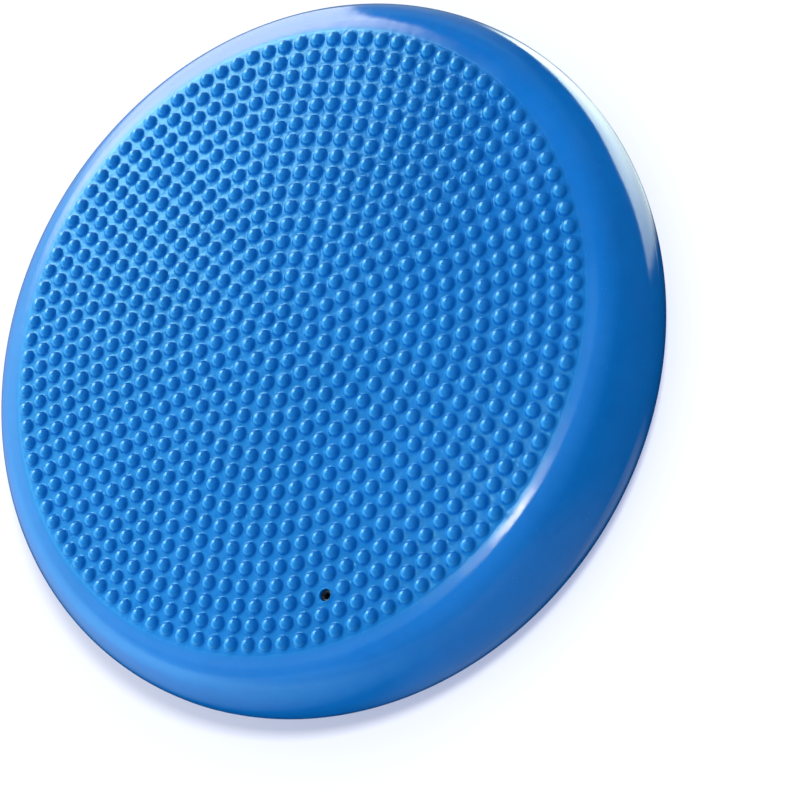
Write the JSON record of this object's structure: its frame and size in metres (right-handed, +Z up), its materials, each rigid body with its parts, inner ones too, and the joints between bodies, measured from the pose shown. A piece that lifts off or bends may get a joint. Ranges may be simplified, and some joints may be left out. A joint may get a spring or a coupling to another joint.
{
  "type": "wobble cushion",
  "caption": "Round air-filled balance cushion with rings of rounded studs on its upper face, a smooth rounded side and a recessed self-sealing valve; the faces tilt against each other.",
  "frame": {"origin": "centre of the rest plane under the disc", "axes": "+Z up through the studded face, +X along a spoke of studs, the valve near -Y"},
  "size_m": [0.33, 0.33, 0.0651],
  "materials": {
    "skin_vinyl": "gloss",
    "valve_rubber": "satin"
  },
  "bodies": {
    "base": {"lower_face": "skin_vinyl"},
    "mid_side": {"lower_side_wall": "skin_vinyl", "equator_band": "skin_vinyl", "upper_side_wall": "skin_vinyl"},
    "deck": {"studded_face": "skin_vinyl", "valve_core": "valve_rubber"}
  },
  "joints": [
    {"name": "pitch", "type": "hinge", "parent": "base", "child": "mid_side", "pos_m": [0, 0, 0.03052], "axis": [1, 0, 0], "range_deg": [-6, 6], "stiffness_Nm_per_rad": 165, "deforming": ["lower_side_wall"]},
    {"name": "roll", "type": "hinge", "parent": "mid_side", "child": "deck", "pos_m": [0, 0, 0.03052], "axis": [0, 1, 0], "range_deg": [-6, 6], "stiffness_Nm_per_rad": 165, "deforming": ["upper_side_wall"]}
  ]
}
